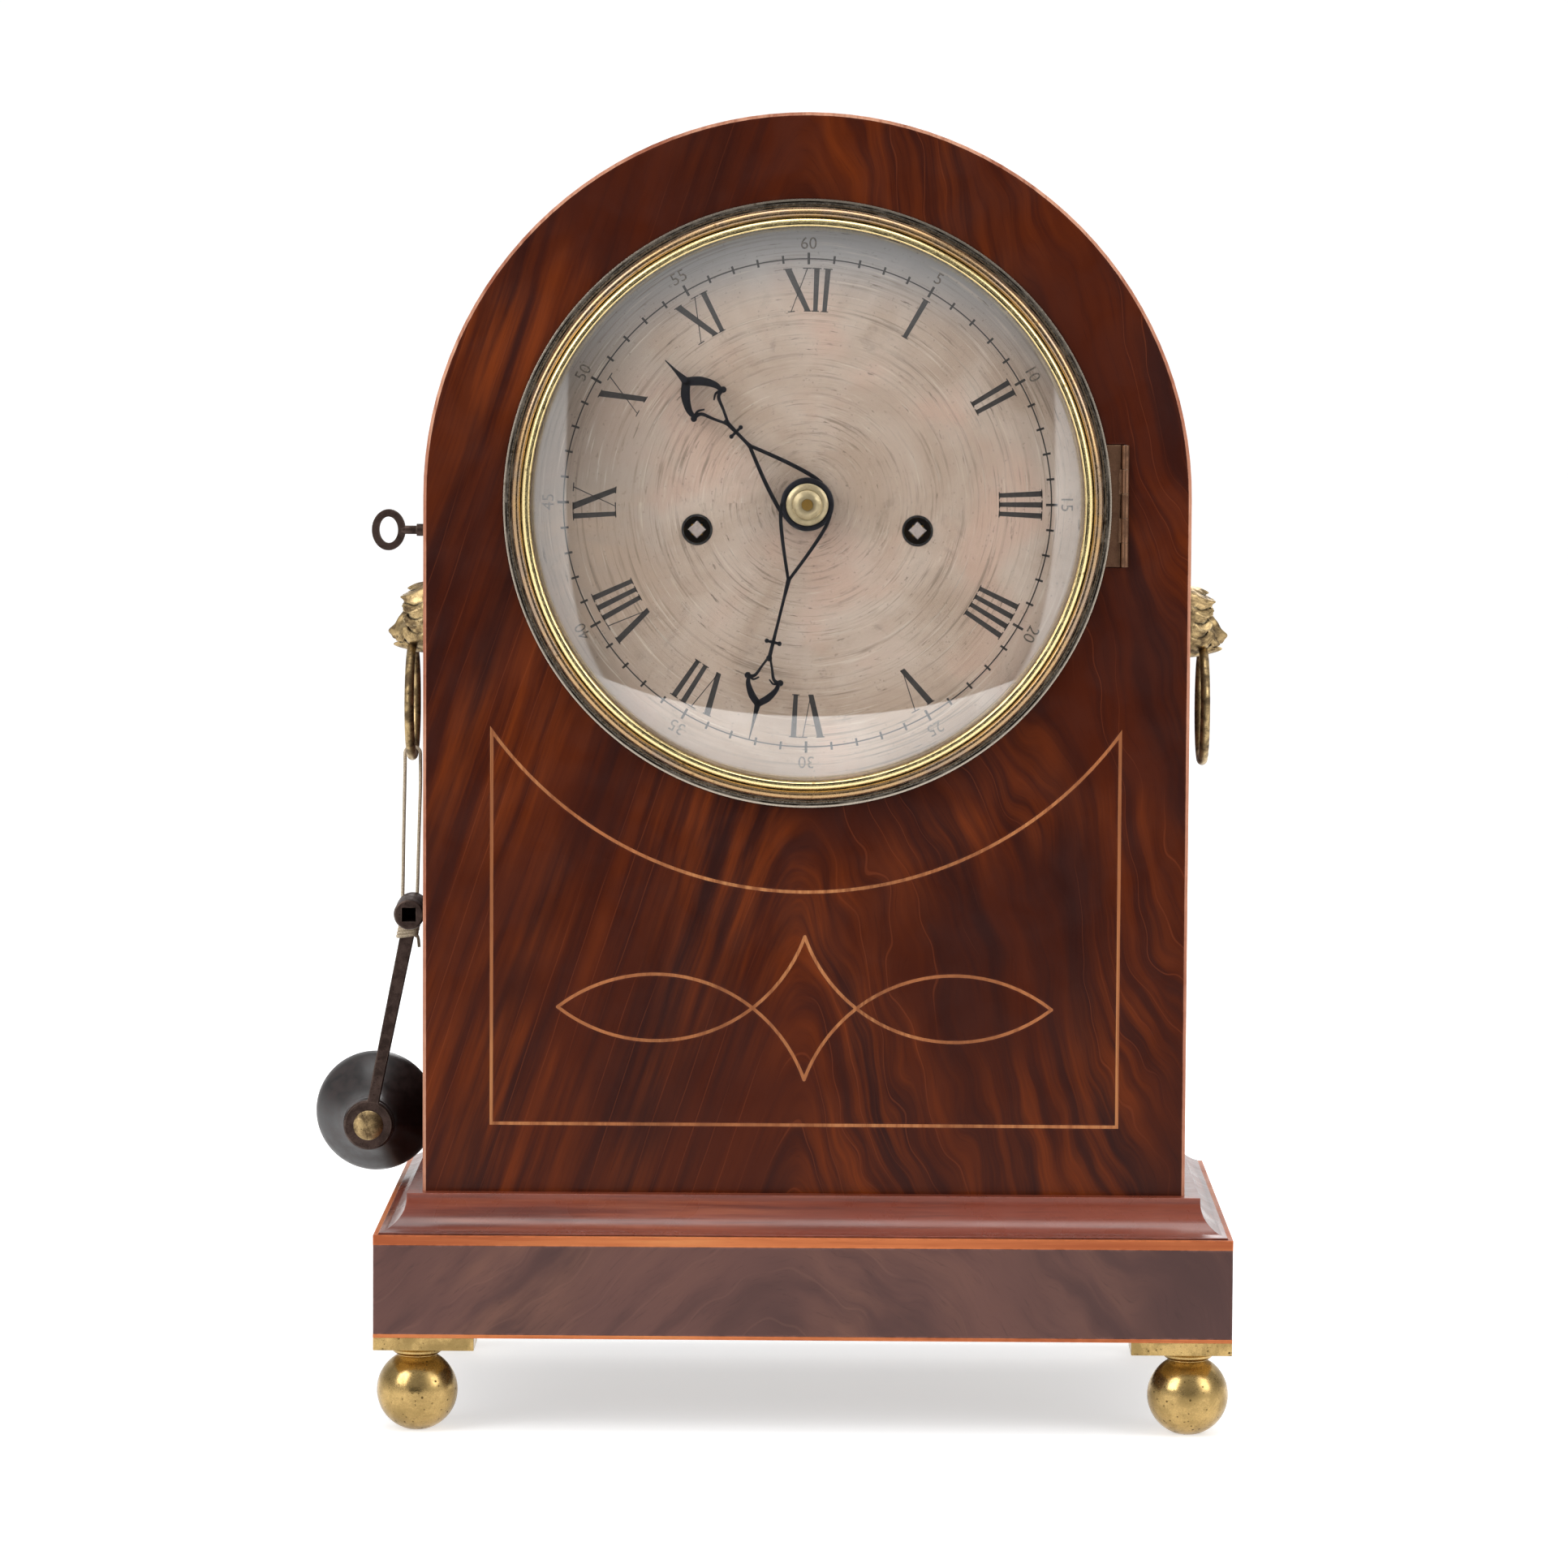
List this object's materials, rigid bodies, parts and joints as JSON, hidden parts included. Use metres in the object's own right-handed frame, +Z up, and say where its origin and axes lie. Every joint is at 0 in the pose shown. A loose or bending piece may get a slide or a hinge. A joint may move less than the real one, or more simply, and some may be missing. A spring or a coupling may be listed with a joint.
{
  "type": "bracket clock",
  "caption": "Arch-topped mahogany bracket clock with ball feet, hinged bezel, silvered dial, glazed back door, striking fusee movement, ring handles and a hung winding crank.",
  "frame": {"origin": "on the floor plane under the middle of the plinth", "axes": "+Z up, the dial faces -Y, +X to the right seen from the front"},
  "size_m": [0.3136, 0.185, 0.432],
  "materials": {
    "mahogany": "french polished mahogany, dark red-brown, worn arrises",
    "boxwood": "boxwood stringing, amber under old polish",
    "pine": "plain planed pine, unpolished",
    "brass": "polished brass, slightly tarnished",
    "brass_dark": "cast gilt brass with dark patina",
    "movement_brass": "planished clock brass, lacquered",
    "silvered": "silvered brass dial, rubbed and lightly scratched, black figures",
    "glass": "clear convex glass",
    "blued_steel": "dark blued steel",
    "steel": "worn bright steel",
    "iron": "dark iron with worn edges",
    "ebonised": "turned dark wood, polished by hands",
    "twine": "jute twine"
  },
  "bodies": {
    "case": {"ball_feet": "brass", "foot_plates": "brass", "plinth": "mahogany", "plinth_stringing": "boxwood", "base_board": "pine", "case_carcass": "mahogany", "case_front": "mahogany", "front_arris_stringing": "boxwood", "front_inlay": "boxwood", "base_moulding": "mahogany", "bezel_hinge_fixed_leaf": "brass_dark", "lock_case": "iron", "lock_escutcheon": "brass_dark", "lion_mask_left": "brass_dark", "lion_mask_right": "brass_dark", "back_door_fixed_leaves": "brass", "hinge_pins": "steel", "seat_board": "pine", "seat_rails": "pine", "front_plate": "movement_brass", "back_plate": "movement_brass", "plate_pillars": "movement_brass", "dial_feet": "movement_brass", "dial_plate": "silvered", "back_cock": "movement_brass", "bell": "brass", "bell_stand": "steel"},
    "bezel": {"bezel": "brass", "bezel_glass": "glass", "glass_retaining_ring": "brass", "bezel_hinge_moving_leaf": "brass_dark", "bezel_catch": "brass_dark"},
    "back_door": {"back_door_frame": "mahogany", "back_door_glass": "glass", "back_door_moving_leaves": "brass"},
    "turn_catch": {"back_door_turn_catch": "brass"},
    "ring_left": {"ring_handle_left": "brass_dark"},
    "ring_right": {"ring_handle_right": "brass_dark"},
    "key": {"key": "iron"},
    "lock_bolt": {"lock_bolt": "steel"},
    "crank": {"crank_arm": "iron", "twine": "twine"},
    "crank_knob": {"crank_knob": "ebonised"},
    "centre": {"centre_wheel": "movement_brass", "minute_hand": "blued_steel", "hand_collet": "brass"},
    "hour": {"hour_wheel": "movement_brass", "hour_hand": "blued_steel"},
    "minute_wheel": {"minute_wheel": "movement_brass"},
    "third": {"third_wheel": "movement_brass"},
    "escape": {"escape_wheel": "movement_brass"},
    "going_fusee": {"going_fusee": "movement_brass"},
    "going_barrel": {"going_barrel": "movement_brass"},
    "strike_fusee": {"strike_fusee": "movement_brass"},
    "strike_barrel": {"strike_barrel": "movement_brass"},
    "pin_wheel": {"pin_wheel": "movement_brass"},
    "hammer": {"hammer": "steel"},
    "pallets": {"pallets_and_crutch": "steel"},
    "pendulum": {"pendulum_rod": "steel", "pendulum_bob": "brass"}
  },
  "joints": [
    {"name": "bezel_swing", "type": "hinge", "parent": "case", "child": "bezel", "pos_m": [0.1034, -0.07835, 0.3049], "axis": [0, 0, 1], "range_deg": [0, 110]},
    {"name": "back_door_swing", "type": "hinge", "parent": "case", "child": "back_door", "pos_m": [0.1159, 0.0908, 0.2], "axis": [0, 0, -1], "range_deg": [0, 110]},
    {"name": "turn_catch_turn", "type": "hinge", "parent": "case", "child": "turn_catch", "pos_m": [-0.1207, 0.0904, 0.3049], "axis": [0, 1, 0], "range_deg": [0, 90]},
    {"name": "ring_left_swing", "type": "hinge", "parent": "case", "child": "ring_left", "pos_m": [-0.134, 0.00625, 0.253], "axis": [0, 1, 0], "range_deg": [0, 80]},
    {"name": "ring_right_swing", "type": "hinge", "parent": "case", "child": "ring_right", "pos_m": [0.134, 0.00625, 0.253], "axis": [0, -1, 0], "range_deg": [0, 80]},
    {"name": "key_turn", "type": "hinge", "parent": "case", "child": "key", "pos_m": [-0.126, -0.057, 0.2949], "axis": [1, 0, 0], "range_deg": [0, 90]},
    {"name": "lock_bolt_slide", "type": "slide", "parent": "case", "child": "lock_bolt", "axis": [0, 0, 1], "range_m": [0, 0.005]},
    {"name": "crank_swing", "type": "hinge", "parent": "ring_left", "child": "crank", "pos_m": [-0.134, 0.00625, 0.2154], "axis": [0, 1, 0], "range_deg": [-80, 0]},
    {"name": "crank_knob_spin", "type": "hinge", "parent": "crank", "child": "crank_knob", "pos_m": [-0.149, 0.029, 0.0887], "axis": [0, 1, 0], "continuous": true},
    {"name": "minute_turn", "type": "hinge", "parent": "case", "child": "centre", "pos_m": [0, -0.06, 0.3049], "axis": [0, 1, 0], "continuous": true},
    {"name": "hour_turn", "type": "hinge", "parent": "case", "child": "hour", "pos_m": [0, -0.06, 0.3049], "axis": [0, 1, 0], "continuous": true},
    {"name": "minute_wheel_turn", "type": "hinge", "parent": "case", "child": "minute_wheel", "pos_m": [-0.0123, -0.052, 0.3262], "axis": [0, 1, 0], "continuous": true},
    {"name": "third_turn", "type": "hinge", "parent": "case", "child": "third", "pos_m": [0.0119, -0.02, 0.3295], "axis": [0, 1, 0], "continuous": true},
    {"name": "escape_turn", "type": "hinge", "parent": "case", "child": "escape", "pos_m": [0, -0.02, 0.3496], "axis": [0, 1, 0], "continuous": true},
    {"name": "going_fusee_turn", "type": "hinge", "parent": "case", "child": "going_fusee", "pos_m": [0.036, -0.02, 0.2962], "axis": [0, 1, 0], "continuous": true},
    {"name": "going_barrel_turn", "type": "hinge", "parent": "case", "child": "going_barrel", "pos_m": [0.044, -0.02, 0.2522], "axis": [0, 1, 0], "continuous": true},
    {"name": "strike_fusee_turn", "type": "hinge", "parent": "case", "child": "strike_fusee", "pos_m": [-0.036, -0.02, 0.2962], "axis": [0, 1, 0], "continuous": true},
    {"name": "strike_barrel_turn", "type": "hinge", "parent": "case", "child": "strike_barrel", "pos_m": [-0.044, -0.02, 0.2522], "axis": [0, 1, 0], "continuous": true},
    {"name": "pin_wheel_turn", "type": "hinge", "parent": "case", "child": "pin_wheel", "pos_m": [-0.046, -0.02, 0.3322], "axis": [0, 1, 0], "continuous": true},
    {"name": "hammer_swing", "type": "hinge", "parent": "case", "child": "hammer", "pos_m": [-0.052, -0.02, 0.3669], "axis": [0, -1, 0], "range_deg": [0, 15], "stiffness_Nm_per_rad": 0.05},
    {"name": "pendulum_swing", "type": "hinge", "parent": "case", "child": "pendulum", "pos_m": [0, 0.035, 0.3694], "axis": [0, 1, 0], "range_deg": [-3, 3]},
    {"name": "pallets_rock", "type": "hinge", "parent": "case", "child": "pallets", "pos_m": [0, -0.018, 0.3694], "axis": [0, 1, 0], "range_deg": [-3, 3]}
  ],
  "couplings": [
    {"joint": "key_turn", "follows": "lock_bolt_slide", "rad_per_m": 314.16},
    {"joint": "crank_swing", "follows": "ring_left_swing", "ratio": -1},
    {"joint": "hour_turn", "follows": "minute_turn", "ratio": 0.083333},
    {"joint": "minute_wheel_turn", "follows": "minute_turn", "ratio": -1},
    {"joint": "third_turn", "follows": "minute_turn", "ratio": -12},
    {"joint": "escape_turn", "follows": "minute_turn", "ratio": 133.71},
    {"joint": "going_fusee_turn", "follows": "minute_turn", "ratio": -0.083333},
    {"joint": "going_barrel_turn", "follows": "minute_turn", "ratio": -0.054167},
    {"joint": "strike_barrel_turn", "follows": "strike_fusee_turn", "ratio": 0.65},
    {"joint": "pin_wheel_turn", "follows": "strike_fusee_turn", "ratio": -12},
    {"joint": "pallets_rock", "follows": "pendulum_swing", "ratio": 1}
  ]
}
